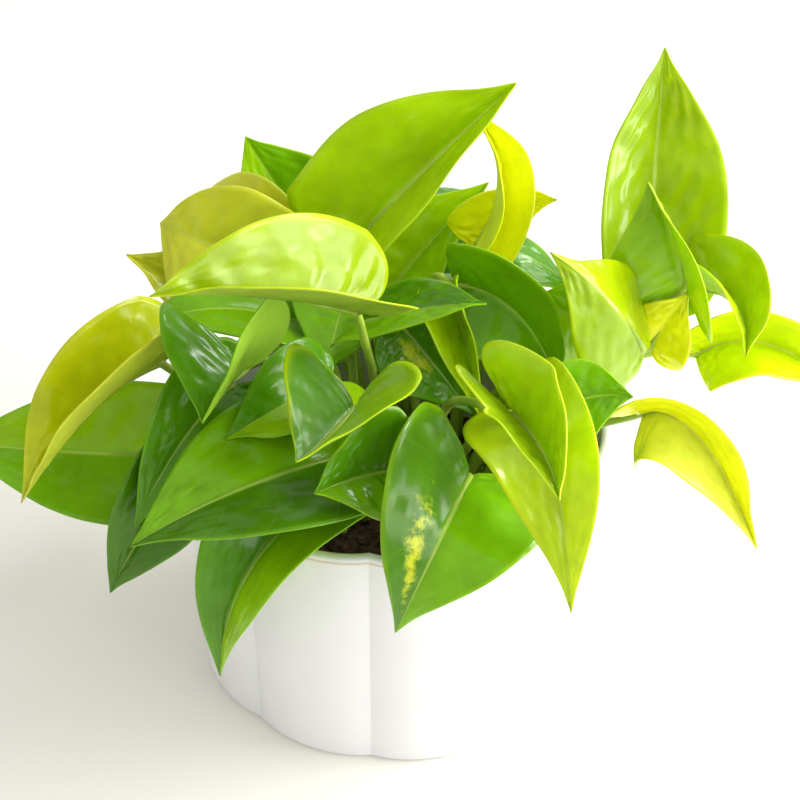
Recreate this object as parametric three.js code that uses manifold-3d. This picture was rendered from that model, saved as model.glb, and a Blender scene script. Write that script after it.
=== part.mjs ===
// A potted pothos: a white lobed pot, its soil, and heart-shaped leaves that stand in the soil
// on their own stalks. Millimetres, +Z up, the pot stands on Z = 0 and its axis is the Z axis;
// -Y is the front.
import * as THREE from 'three';
import { mergeVertices } from 'three/addons/utils/BufferGeometryUtils.js';
import Module from 'manifold-3d';

const wasm = await Module();
wasm.setup();

// ---- driving dimensions -------------------------------------------------------------------

const pot = {
  rimRadius: 75, footRadius: 73.4, height: 95.5, wall: 3.4, floor: 4,
  lobes: 10, firstCrease: -43, creaseDepth: 1.7, creaseHalfAngle: 9,
  rimRound: 1.2, footRound: 2.2, sidesPerLobe: 5,
};
const soil = { top: 48, wallDip: 3, gap: 0.3, holeDepth: 7.3, holeSides: 6 };
const stalk = { footRadius: 1.7, headRadius: 1.4, sides: 5, steps: 5, sunk: 7, holeGap: 0.4 };
const blade = { thickness: 0.8, stations: 8, cellsPerHalf: 2 };

// The outline of half a blade, for a blade 1 long and half as wide as 1: how far along the
// midrib each margin point lies, and how far out. Negative is behind the stalk, in the lobe.
const marginAlong = [-0.07, -0.155, -0.175, -0.13, -0.03, 0.11, 0.28, 0.46, 0.63, 0.78, 0.90, 1];
const marginOut = [0.07, 0.26, 0.50, 0.75, 0.93, 1.0, 0.95, 0.78, 0.54, 0.30, 0.12, 0];
// Where on the midrib the side vein to each of those margin points starts.
const veinStart = [0, 0.01, 0.03, 0.07, 0.13, 0.21, 0.32, 0.45, 0.60, 0.75, 0.88, 1];
// A lobe's flare fades out over this share of the outline.
const flareReach = 0.4;

// Each leaf: foot is where its stalk enters the soil (x, y); base, mid and tip are points of the
// midrib; width is the blade's. face is the way its upper side looks, as degrees from the front
// toward +X and degrees above level. fold is how far its left and right halves rise out of flat,
// and curl how much further they bend toward the margin, in degrees. belly below 1 moves the
// widest place toward the tip. lobe stretches the left and the right lobe behind the stalk, and
// flare folds each lobe further up, in degrees. bend moves the stalk's last bend by x, y and z,
// so that it clears the pot's rim and its neighbours.
const leaves = [
  {
    name: 'leaf_back_left', tone: 'deep', foot: [-12, 51], width: 60,
    base: [-22, 67, 110], mid: [-39, 75, 135], tip: [-54, 79, 162],
    face: [18, 22], fold: 6, curl: [8, 8],
    belly: 0.75, bend: [0, 1, 2],
  },
  {
    name: 'leaf_top_broad', tone: 'bright', foot: [-7, 44], width: 66,
    base: [-14, 47, 138], mid: [11, 51, 166], tip: [41, 50, 200],
    face: [-40, 31], fold: 42, curl: [8, 10],
    belly: 0.6, lobe: [0.5, 0.5], bend: [1, -1, -3],
  },
  {
    name: 'leaf_top_shaded', tone: 'green', foot: [4, 52], width: 54,
    base: [-6, 52, 106], mid: [10, 64, 123], tip: [34, 74, 146],
    face: [-27, 43], fold: 35, curl: [6, 6],
    belly: 0.8, bend: [0, 0, -3],
  },
  {
    name: 'leaf_yellow_front', tone: 'yellow', foot: [14, 50], width: 32,
    base: [23, 42, 129], mid: [36, 54, 158], tip: [25, 60, 184],
    face: [35, 14], fold: 62, curl: [2, 10],
    belly: 0.55, lobe: [0.3, 0.1], bend: [0, 2, 1],
  },
  {
    name: 'leaf_yellow_back', tone: 'yellow', foot: [24, 52], width: 34,
    base: [30, 55, 130], mid: [44, 58, 143], tip: [57, 54, 151],
    face: [-31, 32], fold: 41, curl: [0, 0],
    lobe: [0.3, 0.3], bend: [18, -14, -2],
  },
  {
    name: 'leaf_arch_right', tone: 'bright', foot: [22, 44], width: 38,
    base: [24, 67, 113], mid: [47, 68, 118], tip: [73, 66, 96],
    face: [67, 70], fold: -14, curl: [7, 7],
    bend: [2, 3, 5],
  },
  {
    name: 'leaf_dark_right', tone: 'deep', foot: [16, 36], width: 48,
    base: [21, 25, 135], mid: [43, 15, 128], tip: [57, 1, 105],
    face: [-20, 19], fold: 32, curl: [10, 10],
    belly: 0.65, lobe: [0.2, 0.5], bend: [10, 4, 25],
  },
  {
    name: 'leaf_gloss_right', tone: 'green', foot: [16, 26], width: 40,
    base: [20, 19, 137], mid: [25, 2, 122], tip: [30, -25, 112],
    face: [-38, 49], fold: 61, curl: [9, 9],
    lobe: [0.5, 0.5], bend: [-15, 24, 34],
  },
  {
    name: 'leaf_point_right', tone: 'bright', foot: [1, 36], width: 36,
    base: [-10, 11, 129], mid: [10, -3, 145], tip: [30, -11, 152],
    face: [-105, 63], fold: 9, curl: [-1, -1],
    bend: [0, -9, -8],
  },
  {
    name: 'leaf_speckled', tone: 'deep', foot: [8, 31], width: 48,
    base: [1, 23, 120], mid: [14, 23, 101], tip: [28, 19, 82],
    face: [30, 24], fold: 29, curl: [5, 5],
    bend: [3, 1, 1],
  },
  {
    name: 'leaf_lime_left', tone: 'lime', foot: [-6, 28], width: 56,
    base: [-12, -22, 157], mid: [-44, -43, 178], tip: [-73, -58, 188],
    face: [86, 62], fold: 49, curl: [1, -9],
    belly: 0.85, lobe: [0.1, 0.8], flare: [-15, 0], bend: [2, -11, 3],
  },
  {
    name: 'leaf_under_lime', tone: 'green', foot: [-13, 30], width: 38,
    base: [-29, 27, 115], mid: [-60, 15, 132], tip: [-88, 4, 130],
    face: [57, 68], fold: 7, curl: [11, 11],
    bend: [-1, -2, 2],
  },
  {
    name: 'leaf_olive_left', tone: 'olive', foot: [-17, 36], width: 54,
    base: [-46, 40, 131], mid: [-64, 34, 145], tip: [-82, 42, 149],
    face: [8, 20], fold: 14, curl: [13, 13],
    belly: 0.55, bend: [7, 2, 7],
  },
  {
    name: 'leaf_olive_back', tone: 'olive', foot: [-20, 44], width: 42,
    base: [-48, 52, 126], mid: [-57, 54, 148], tip: [-69, 70, 142],
    face: [-7, 44], fold: 12, curl: [10, 10],
  },
  {
    name: 'leaf_thin_left', tone: 'olive', foot: [-24, 36], width: 34,
    base: [-62, 38, 119], mid: [-79, 36, 130], tip: [-94, 36, 140],
    face: [34, 37], fold: 35, curl: [0, 0],
  },
  {
    name: 'leaf_mustard', tone: 'lime', foot: [-29, 9], width: 48,
    base: [-77, -21, 136], mid: [-99, -39, 128], tip: [-123, -48, 98],
    face: [-50, 54], fold: 56, curl: [0, 12],
    belly: 0.75, bend: [3, 1, -2],
  },
  {
    name: 'leaf_far_left', tone: 'green', foot: [-32, 3], width: 50,
    base: [-73, -30, 104], mid: [-113, -26, 102], tip: [-149, -32, 112],
    face: [7, 43], fold: 5, curl: [12, 12],
    belly: 0.8, bend: [3, 3, 2],
  },
  {
    name: 'leaf_folded_left', tone: 'deep', foot: [-22, 25], width: 66,
    base: [-49, -35, 143], mid: [-54, -48, 144], tip: [-60, -60, 141],
    face: [-102, 71], fold: 52, curl: [0, 8],
    lobe: [1.1, 1], flare: [-50, 0], bend: [-2, 11, 17],
  },
  {
    name: 'leaf_dark_left', tone: 'deep', foot: [-23, 9], width: 38,
    base: [-54, -24, 128], mid: [-70, -44, 119], tip: [-85, -57, 95],
    face: [14, 37], fold: 20, curl: [12, 12],
    bend: [1, -4, 3],
  },
  {
    name: 'leaf_low_left', tone: 'deep', foot: [-27, -5], width: 40,
    base: [-64, -37, 109], mid: [-82, -51, 90], tip: [-96, -55, 64],
    face: [-5, 24], fold: 29, curl: [9, 9],
  },
  {
    name: 'leaf_gloss_front', tone: 'deep', foot: [-11, 2], width: 58,
    base: [-12, -41, 114], mid: [-49, -68, 121], tip: [-82, -86, 113],
    face: [30, 78], fold: 10, curl: [6, 6],
    belly: 0.8, lobe: [0.5, 1], bend: [4, -1, 4],
  },
  {
    name: 'leaf_hang_front', tone: 'green', foot: [-19, -5], width: 54,
    base: [-18, -38, 96], mid: [-46, -74, 93], tip: [-58, -79, 49],
    face: [-21, 48], fold: 35, curl: [7, 7],
    bend: [-2, 5, -7],
  },
  {
    name: 'leaf_cup_lime', tone: 'lime', foot: [-7, 12], width: 58,
    base: [-13, -47, 137], mid: [-21, -66, 140], tip: [-30, -81, 143],
    face: [145, 81], fold: 38, curl: [7, 7],
    lobe: [1.6, 0.8], flare: [30, 0], bend: [11, -4, 16],
  },
  {
    name: 'leaf_round_veined', tone: 'green', foot: [-14, 17], width: 36,
    base: [-18, 28, 125], mid: [-21, 16, 121], tip: [-23, 0, 116],
    face: [26, 69], fold: -4, curl: [16, 16],
    bend: [2, 8, -2],
  },
  {
    name: 'leaf_dark_inner', tone: 'deep', foot: [-17, 9], width: 35,
    base: [-22, -23, 129], mid: [-38, -41, 132], tip: [-54, -53, 129],
    face: [43, 65], fold: 11, curl: [14, 14],
    bend: [1, 16, 13],
  },
  {
    name: 'leaf_point_front', tone: 'lime', foot: [-4, -5], width: 44,
    base: [0, -61, 123], mid: [-12, -67, 125], tip: [-25, -77, 127],
    face: [40, 45], fold: 26, curl: [13, 13],
    belly: 0.8, bend: [2, 4, 15],
  },
  {
    name: 'leaf_heart_front', tone: 'green', foot: [5, -1], width: 60,
    base: [24, -53, 114], mid: [13, -88, 115], tip: [0, -95, 85],
    face: [20, 47], fold: 11, curl: [17, 17],
    bend: [4, -6, -1],
  },
  {
    name: 'leaf_hang_right', tone: 'yellow', foot: [19, 7], width: 44,
    base: [42, -39, 128], mid: [50, -78, 129], tip: [55, -95, 93],
    face: [-27, 51], fold: 21, curl: [10, 14],
    bend: [3, 2, -1],
  },
  {
    name: 'leaf_fold_right', tone: 'olive', foot: [14, 12], width: 46,
    base: [37, -65, 148], mid: [45, -81, 146], tip: [48, -106, 149],
    face: [-81, 76], fold: 56, curl: [6, 0],
    belly: 0.8, lobe: [2.8, 2.8], bend: [-12, 4, 17],
  },
  {
    name: 'leaf_lime_arch', tone: 'yellow', foot: [26, 13], width: 46,
    base: [84, -3, 128], mid: [69, -11, 155], tip: [50, -6, 169],
    face: [47, 29], fold: -28, curl: [13, 13],
    bend: [-4, -1, 1],
  },
  {
    name: 'leaf_small_right', tone: 'bright', foot: [24, 4], width: 30,
    base: [57, -33, 128], mid: [67, -34, 132], tip: [77, -36, 133],
    face: [-19, 35], fold: 20, curl: [13, 13],
    bend: [0, 0, -4],
  },
  {
    name: 'leaf_tall_right', tone: 'bright', foot: [32, 33], width: 55,
    base: [91, 45, 125], mid: [92, 63, 161], tip: [93, 73, 201],
    face: [9, 20], fold: 29, curl: [11, 11],
    belly: 0.62, bend: [0, 0, 3],
  },
  {
    name: 'leaf_front_of_tall', tone: 'bright', foot: [31, 25], width: 60,
    base: [100, 21, 137], mid: [93, 21, 159], tip: [85, 31, 173],
    face: [-37, -2], fold: 45, curl: [-5, -5],
    lobe: [0.5, 0.05], bend: [1, 0, -1],
  },
  {
    name: 'leaf_lime_far', tone: 'lime', foot: [36, 27], width: 40,
    base: [104, 34, 127], mid: [117, 18, 131], tip: [119, -1, 123],
    face: [40, 84], fold: 56, curl: [11, -1],
    belly: 0.6, lobe: [0.3, 1], bend: [-2, 1, 4],
  },
  {
    name: 'leaf_yellow_edge', tone: 'yellow', foot: [36, 18], width: 42,
    base: [107, 27, 103], mid: [134, 27, 107], tip: [163, 21, 85],
    face: [6, 33], fold: 54, curl: [0, 0],
    belly: 0.7, lobe: [0.1, 0.1], bend: [-9, 0, 26],
  },
  {
    name: 'leaf_small_yellow', tone: 'yellow', foot: [32, 12], width: 28,
    base: [89, 16, 115], mid: [94, 16, 126], tip: [101, 19, 135],
    face: [-19, 19], fold: 11, curl: [2, 2],
  },
  {
    name: 'leaf_low_right', tone: 'yellow', foot: [30, 5], width: 42,
    base: [83, -25, 118], mid: [102, -33, 111], tip: [124, -37, 67],
    face: [0, 14], fold: 55, curl: [8, 8],
    belly: 0.75, lobe: [0.8, 0.2], bend: [-4, -1, 5],
  },
  {
    name: 'leaf_behind_arch', tone: 'bright', foot: [26, 32], width: 44,
    base: [70, 22, 118], mid: [59, 19, 127], tip: [49, 28, 128],
    face: [1, 32], fold: 5, curl: [10, 10],
  },
  {
    name: 'leaf_back_low_a', tone: 'green', foot: [-14, 46], width: 46,
    base: [-34, 82, 111], mid: [-47, 97, 97], tip: [-53, 109, 76],
    face: [150, 50], fold: 12, curl: [9, 9],
    bend: [0, 0, 18],
  },
  {
    name: 'leaf_back_low_b', tone: 'bright', foot: [-2, 55], width: 50,
    base: [-4, 81, 110], mid: [-1, 95, 98], tip: [4, 107, 80],
    face: [178, 45], fold: 11, curl: [11, 11],
    bend: [-3, -5, 15],
  },
  {
    name: 'leaf_back_low_c', tone: 'green', foot: [30, 50], width: 46,
    base: [31, 69, 102], mid: [49, 83, 88], tip: [64, 92, 66],
    face: [140, 48], fold: 9, curl: [10, 10],
    bend: [3, -8, 14],
  },
  {
    name: 'leaf_back_high', tone: 'deep', foot: [7, 61], width: 44,
    base: [9, 77, 130], mid: [7, 92, 129], tip: [2, 113, 120],
    face: [175, 40], fold: 15, curl: [8, 8],
    bend: [-1, -2, 8],
  },
  {
    name: 'leaf_back_left_low', tone: 'green', foot: [-32, 40], width: 42,
    base: [-61, 59, 111], mid: [-74, 75, 97], tip: [-82, 91, 78],
    face: [200, 50], fold: 12, curl: [10, 10],
    bend: [0, 0, 22],
  },
  {
    name: 'leaf_back_right', tone: 'bright', foot: [33, 39], width: 42,
    base: [92, 56, 118], mid: [106, 73, 106], tip: [117, 90, 89],
    face: [140, 50], fold: 9, curl: [10, 10],
    bend: [0, -1, 26],
  },
];

const leafColours = {
  deep: 0x3f7a12, green: 0x5f9a16, bright: 0x86b41c, olive: 0xa9ad2c, lime: 0xb2cf22, yellow: 0xd2d91e,
};

// ---- small helpers ------------------------------------------------------------------------

const degrees = THREE.MathUtils.degToRad;
const vector = (xyz) => new THREE.Vector3(...xyz);

function smooth(values, t) {
  const last = values.length - 1;
  const x = t * last;
  const i = Math.min(Math.floor(x), last - 1);
  const f = x - i;
  const at = (k) => {
    if (k < 0) return 2 * values[0] - values[1];
    if (k > last) return 2 * values[last] - values[last - 1];
    return values[k];
  };
  const [a, b, c, d] = [at(i - 1), at(i), at(i + 1), at(i + 2)];
  return 0.5 * (2 * b + (c - a) * f + (2 * a - 5 * b + 4 * c - d) * f * f
    + (3 * b - a - 3 * c + d) * f * f * f);
}

function toSolid(geometry) {
  geometry.deleteAttribute('normal');
  geometry.deleteAttribute('uv');
  const merged = mergeVertices(geometry, 1e-4);
  return new wasm.Manifold(new wasm.Mesh({
    numProp: 3,
    vertProperties: new Float32Array(merged.attributes.position.array),
    triVerts: new Uint32Array(merged.index.array),
  }));
}

function toGeometry(solid) {
  const mesh = solid.getMesh();
  const geometry = new THREE.BufferGeometry();
  geometry.setAttribute('position', new THREE.BufferAttribute(mesh.vertProperties, 3));
  geometry.setIndex(new THREE.BufferAttribute(mesh.triVerts, 1));
  geometry.computeVertexNormals();
  return geometry;
}

function finish(name, geometry, colour, roughness) {
  const material = new THREE.MeshStandardMaterial({ color: colour, roughness, metalness: 0 });
  const mesh = new THREE.Mesh(geometry, material);
  mesh.name = name;
  return mesh;
}

// ---- pot ----------------------------------------------------------------------------------

// How deep the wall is drawn in at this angle: sharp creases between shallow rounded lobes.
function creaseAt(angle) {
  const pitch = 360 / pot.lobes;
  const turned = THREE.MathUtils.euclideanModulo(angle - pot.firstCrease + pitch / 2, pitch);
  const off = Math.abs(turned - pitch / 2) / pot.creaseHalfAngle;
  return pot.creaseDepth * Math.max(0, 1 - off) ** 1.6;
}

// The inside of the wall leans outward a little, from floor to rim.
function insideRadius(height) {
  const lean = (pot.rimRadius - pot.footRadius) * (height / pot.height);
  return pot.footRadius + lean - pot.wall;
}

// A closed solid with the lobed outline. Each row of the profile is a radius, a height and how
// much of the crease shows there; the first and last rows are closed by flat caps.
function lobedGeometry(rows) {
  const sides = pot.lobes * pot.sidesPerLobe;
  const positions = [0, 0, rows[0][1]];
  for (const [radius, height, crease] of rows) {
    for (let i = 0; i < sides; i++) {
      // the sides crowd toward the creases, where the wall turns most
      const lobe = Math.floor(i / pot.sidesPerLobe);
      const part = (i % pot.sidesPerLobe) / pot.sidesPerLobe;
      const eased = part - 0.11 * Math.sin(2 * Math.PI * part);
      const angle = pot.firstCrease + (lobe + eased) * (360 / pot.lobes);
      const r = radius - creaseAt(angle) * crease;
      positions.push(r * Math.sin(degrees(angle)), -r * Math.cos(degrees(angle)), height);
    }
  }
  positions.push(0, 0, rows.at(-1)[1]);
  const index = [];
  const last = rows.length * sides + 1;
  const at = (row, i) => 1 + row * sides + (i % sides);
  for (let i = 0; i < sides; i++) {
    index.push(0, at(0, i + 1), at(0, i));
    index.push(last, at(rows.length - 1, i), at(rows.length - 1, i + 1));
    for (let row = 0; row < rows.length - 1; row++) {
      index.push(at(row, i), at(row, i + 1), at(row + 1, i + 1));
      index.push(at(row, i), at(row + 1, i + 1), at(row + 1, i));
    }
  }
  const geometry = new THREE.BufferGeometry();
  geometry.setAttribute('position', new THREE.Float32BufferAttribute(positions, 3));
  geometry.setIndex(index);
  geometry.computeVertexNormals();
  return geometry;
}

// From the middle of the underside up the outside, over the rounded rim and down the inside.
function potGeometry() {
  const { rimRadius, footRadius, height, wall, floor, rimRound, footRound } = pot;
  return lobedGeometry([
    [footRadius - footRound - 0.6, 0, 0.6], [footRadius - 0.5, footRound * 0.45, 0.9],
    [footRadius + 0.1, footRound * 1.4, 1], [rimRadius, height - rimRound, 1],
    [rimRadius - rimRound * 0.5, height - rimRound * 0.15, 1],
    [rimRadius - wall / 2, height, 1],
    [rimRadius - wall + rimRound * 0.5, height - rimRound * 0.15, 1],
    [insideRadius(height - rimRound), height - rimRound, 1],
    [insideRadius(floor + 3), floor + 3, 1], [insideRadius(floor) - 3, floor, 0.6],
  ]);
}

// ---- soil ---------------------------------------------------------------------------------

// A bed of soil that fills the pot to well below its rim, a little lower along the wall, with a
// plain hole for each stalk.
function soilGeometry() {
  const bottom = pot.floor + soil.gap;
  const brim = soil.top - soil.wallDip;
  const outer = (height) => insideRadius(height) - soil.gap;
  const bed = lobedGeometry([
    [outer(bottom) - 3.2, bottom, 0.6], [outer(bottom + 3), bottom + 3, 1],
    [outer(brim), brim, 1], [outer(brim) - 8, soil.top - 0.8, 0], [outer(brim) - 18, soil.top, 0],
  ]);
  let solid = toSolid(bed);
  for (const leaf of leaves) {
    const radius = stalk.footRadius + stalk.holeGap;
    const depth = soil.holeDepth + 4;
    const hole = new THREE.CylinderGeometry(radius, radius, depth, soil.holeSides);
    hole.rotateX(Math.PI / 2);
    hole.translate(leaf.foot[0], leaf.foot[1], soil.top - soil.holeDepth + depth / 2);
    solid = solid.subtract(toSolid(hole));
  }
  return toGeometry(solid);
}

// ---- leaves -------------------------------------------------------------------------------

function faceDirection([turn, lift]) {
  const level = Math.cos(degrees(lift));
  return new THREE.Vector3(
    Math.sin(degrees(turn)) * level, -Math.cos(degrees(turn)) * level, Math.sin(degrees(lift)));
}

// The midrib is a curve from the stalk to the tip that passes near its middle point. Behind the
// stalk it runs straight on. At each place it has its way forward, its face and its right side.
function midribOf(leaf) {
  const base = vector(leaf.base);
  const tip = vector(leaf.tip);
  const middle = vector(leaf.mid);
  const pull = middle.clone().multiplyScalar(2).sub(base.clone().add(tip).multiplyScalar(0.5));
  const curve = new THREE.QuadraticBezierCurve3(base, pull, tip);
  const length = middle.distanceTo(base) + tip.distanceTo(middle);
  const up = faceDirection(leaf.face);
  return (along) => {
    const t = Math.max(along, 0);
    const forward = curve.getTangent(t);
    const place = curve.getPoint(t).addScaledVector(forward, Math.min(along, 0) * length);
    const face = up.clone().addScaledVector(forward, -up.dot(forward)).normalize();
    const right = forward.clone().cross(face);
    return { place, forward, face, right };
  };
}

// A point of the blade: station runs from the notch to the tip, side is -1 left and 1 right, and
// out runs from the midrib to the margin. Each half is an arc that starts at the fold's angle.
function bladePoint(leaf, midrib, station, side, out) {
  const belly = leaf.belly ?? 1;
  const margin = smooth(marginAlong, station);
  const k = side < 0 ? 0 : 1;
  const marginAt = margin > 0 ? margin ** belly : margin * (leaf.lobe ?? [1, 1])[k];
  const start = Math.max(smooth(veinStart, station), 0) ** belly;
  const along = start + (marginAt - start) * out;
  const halfWidth = leaf.width / 2;
  const distance = Math.max(smooth(marginOut, station), 0) * out * halfWidth;
  const flare = (leaf.flare ?? [0, 0])[k] * Math.max(0, 1 - station / flareReach);
  const fold = degrees(leaf.fold + flare);
  const bend = degrees(leaf.curl[k]) / halfWidth;
  const { place, face, right } = midrib(along);
  const turned = fold + bend * distance;
  const straight = Math.abs(bend) < 1e-6;
  const across = straight ? Math.cos(fold) * distance : (Math.sin(turned) - Math.sin(fold)) / bend;
  const raised = straight ? Math.sin(fold) * distance : (Math.cos(fold) - Math.cos(turned)) / bend;
  return place.addScaledVector(right, side * across).addScaledVector(face, raised);
}

// A thin sheet over the grid of blade points, as thick as a blade, both faces split alike.
function bladeGeometry(leaf, midrib) {
  const { stations, cellsPerHalf, thickness } = blade;
  const columns = 2 * cellsPerHalf + 1;
  const middle = [];
  for (let i = 0; i < stations; i++) {
    for (let j = 0; j < columns; j++) {
      const out = (j - cellsPerHalf) / cellsPerHalf;
      middle.push(bladePoint(leaf, midrib, i / stations, Math.sign(out) || 1, Math.abs(out)));
    }
  }
  const tipIndex = middle.length;
  middle.push(bladePoint(leaf, midrib, 1, 1, 0));
  const at = (i, j) => (i === stations ? tipIndex : i * columns + j);
  const cells = [];
  for (let i = 0; i < stations; i++) {
    for (let j = 0; j < columns - 1; j++) {
      const [a, b, c, d] = [at(i, j), at(i + 1, j), at(i + 1, j + 1), at(i, j + 1)];
      if (b === c) cells.push([a, d, b]);
      else if (j < cellsPerHalf) cells.push([a, c, b], [a, d, c]);
      else cells.push([a, d, b], [b, d, c]);
    }
  }
  const sheet = new THREE.BufferGeometry().setFromPoints(middle);
  sheet.setIndex(cells.flat());
  sheet.computeVertexNormals();
  const normals = sheet.attributes.normal;
  const positions = [];
  for (const offset of [thickness / 2, -thickness / 2]) {
    middle.forEach((p, i) => {
      const n = new THREE.Vector3().fromBufferAttribute(normals, i);
      positions.push(...p.clone().addScaledVector(n, offset).toArray());
    });
  }
  const count = middle.length;
  const index = cells.flatMap(([a, b, c]) => [a, b, c, c + count, b + count, a + count]);
  const edges = new Set(cells.flatMap(([a, b, c]) => [`${a} ${b}`, `${b} ${c}`, `${c} ${a}`]));
  for (const edge of edges) {
    const [a, b] = edge.split(' ').map(Number);
    if (edges.has(`${b} ${a}`)) continue;
    index.push(b, a, a + count, b, a + count, b + count);
  }
  const geometry = new THREE.BufferGeometry();
  geometry.setAttribute('position', new THREE.Float32BufferAttribute(positions, 3));
  geometry.setIndex(index);
  return geometry;
}

// The stalk's route: straight up out of its hole, over to the blade, and a little way along the
// underside of the midrib.
function stalkRoute(leaf, midrib) {
  const foot = new THREE.Vector3(leaf.foot[0], leaf.foot[1], soil.top);
  const base = vector(leaf.base);
  const reach = foot.distanceTo(base);
  const bend = vector(leaf.bend ?? [0, 0, 0.1 * reach]);
  const first = foot.clone().add(new THREE.Vector3(0, 0, 0.45 * reach));
  const second = base.clone().lerp(foot, 0.3).add(bend);
  const curve = new THREE.CubicBezierCurve3(foot, first, second, base);
  const route = [foot.clone().setZ(soil.top - stalk.sunk), foot.clone().setZ(soil.top - 0.5)];
  for (let i = 1; i < stalk.steps; i++) route.push(curve.getPoint(i / stalk.steps));
  const under = (along, depth) => {
    const { place, face } = midrib(along);
    return place.addScaledVector(face, -depth);
  };
  route.push(under(0, 0.5), under(0.05, 0.6), under(0.12, 0.7));
  return route;
}

// A tapering tube of few sides along a route, with both ends closed.
function tubeGeometry(route, startRadius, endRadius, sides) {
  const last = route.length - 1;
  const positions = [];
  let across = new THREE.Vector3(1, 0, 0);
  route.forEach((centre, i) => {
    const ahead = route[Math.min(i + 1, last)].clone().sub(route[Math.max(i - 1, 0)]).normalize();
    across = across.clone().addScaledVector(ahead, -across.dot(ahead)).normalize();
    const other = ahead.clone().cross(across);
    const radius = startRadius + (endRadius - startRadius) * (i / last);
    for (let j = 0; j < sides; j++) {
      const turn = (2 * Math.PI * j) / sides;
      positions.push(...centre.clone().addScaledVector(across, radius * Math.cos(turn))
        .addScaledVector(other, radius * Math.sin(turn)).toArray());
    }
  });
  const start = (last + 1) * sides;
  positions.push(...route[0].toArray(), ...route[last].toArray());
  const index = [];
  for (let j = 0; j < sides; j++) {
    const next = (j + 1) % sides;
    for (let i = 0; i < last; i++) {
      const [a, b] = [i * sides + j, i * sides + next];
      index.push(a, b, b + sides, a, b + sides, a + sides);
    }
    index.push(start, next, j, start + 1, last * sides + j, last * sides + next);
  }
  const geometry = new THREE.BufferGeometry();
  geometry.setAttribute('position', new THREE.Float32BufferAttribute(positions, 3));
  geometry.setIndex(index);
  return geometry;
}

// Blade and stalk are one piece, as they grew.
function leafGeometry(leaf) {
  const midrib = midribOf(leaf);
  const sheet = toSolid(bladeGeometry(leaf, midrib));
  const route = stalkRoute(leaf, midrib);
  const stem = toSolid(tubeGeometry(route, stalk.footRadius, stalk.headRadius, stalk.sides));
  return toGeometry(sheet.add(stem));
}

// ---- the plant in its pot -----------------------------------------------------------------

const plant = new THREE.Group();
plant.add(finish('pot', potGeometry(), 0xf1f1f3, 0.18));
plant.add(finish('soil', soilGeometry(), 0x241a12, 0.95));
for (const leaf of leaves) {
  plant.add(finish(leaf.name, leafGeometry(leaf), leafColours[leaf.tone], 0.35));
}

export default plant;
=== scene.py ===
# %% [markdown]
# # A potted pothos
# A white glazed pot with shallow lobes, potting mix well below its rim, and heart-shaped leaves
# that stand in the mix on their own stalks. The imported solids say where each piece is. This
# script gives every piece its real surface: thin waxy blades with veins, smooth glaze, crumbs.

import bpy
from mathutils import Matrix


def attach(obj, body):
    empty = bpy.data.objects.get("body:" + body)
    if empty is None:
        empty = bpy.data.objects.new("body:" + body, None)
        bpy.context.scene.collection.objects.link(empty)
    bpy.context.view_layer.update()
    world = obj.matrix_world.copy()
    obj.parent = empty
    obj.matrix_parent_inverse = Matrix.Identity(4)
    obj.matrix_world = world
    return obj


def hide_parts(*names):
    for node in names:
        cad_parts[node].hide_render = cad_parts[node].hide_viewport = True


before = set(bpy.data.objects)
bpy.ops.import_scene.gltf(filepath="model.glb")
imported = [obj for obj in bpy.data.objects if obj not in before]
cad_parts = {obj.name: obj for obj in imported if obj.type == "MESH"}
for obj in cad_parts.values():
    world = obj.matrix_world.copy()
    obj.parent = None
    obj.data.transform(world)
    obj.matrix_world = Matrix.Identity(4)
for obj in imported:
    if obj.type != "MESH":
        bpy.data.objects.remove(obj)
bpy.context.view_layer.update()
print("solids:", len(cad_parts))

# %% [markdown]
# Blender counts in metres, and a plant is measured in millimetres, so MM turns one into the
# other. All chance comes from generators with fixed seeds, so every run makes the same plant.

# %% What the script works with
import math
import random

import bpy
import numpy as np
from mathutils import Vector, noise

MM = 0.001
rng = random.Random(12)


def deselect_all():
    for thing in list(bpy.context.selected_objects):
        thing.select_set(False)


def only(thing):
    """Select one object and make it the active one."""
    deselect_all()
    thing.select_set(True)
    bpy.context.view_layer.objects.active = thing


def linear(red, green, blue):
    """A colour as a screen shows it, 0 to 255, as the light values a shader wants."""
    def one(value):
        value /= 255
        return value / 12.92 if value <= 0.04045 else ((value + 0.055) / 1.055) ** 2.4
    return (one(red), one(green), one(blue), 1.0)


print("one millimetre:", MM)


# %% [markdown]
# ## Camera
# The plant is seen from the front and well above, so that the rim shows as a wide oval and most
# blades face the lens. A long lens from a few hand's breadths away keeps the pot's sides nearly
# upright. The numbers were worked out from the rim, the foot and the creases of the pot.

# %% Camera
CAMERA_LIFT = math.radians(38)
CAMERA_DISTANCE = 0.7
CAMERA_TARGET = Vector((0.0016, 0, 0.1036))
SENSOR = 36
FOCAL_PIXELS = 2024
IMAGE_SIDE = 800

deselect_all()
away = Vector((0, -math.cos(CAMERA_LIFT), math.sin(CAMERA_LIFT)))
bpy.ops.object.camera_add(location=CAMERA_TARGET + away * CAMERA_DISTANCE,
                          rotation=(math.pi / 2 - CAMERA_LIFT, 0, 0))
camera = bpy.context.object
camera.data.sensor_width = SENSOR
camera.data.lens = FOCAL_PIXELS / IMAGE_SIDE * SENSOR
camera.data.clip_start = 0.01
bpy.context.scene.camera = camera
print("camera at", [round(v, 3) for v in camera.location])

# %% [markdown]
# ## Light and floor
# Soft daylight comes from a window on the right, so the blades that look that way carry white
# reflections and the pot's left front is its darkest part. A large square light stands in for the
# window, small ones for a second window behind it and for the gleam of the sill, a weak one fills
# the right front, and the room's own pale light opens the shadows.

# %% Lights
LIT_POINT = Vector((0, 0, 0.1))
ROOM_COLOUR = (1.0, 0.985, 0.965, 1)
ROOM_STRENGTH = 0.74


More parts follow.
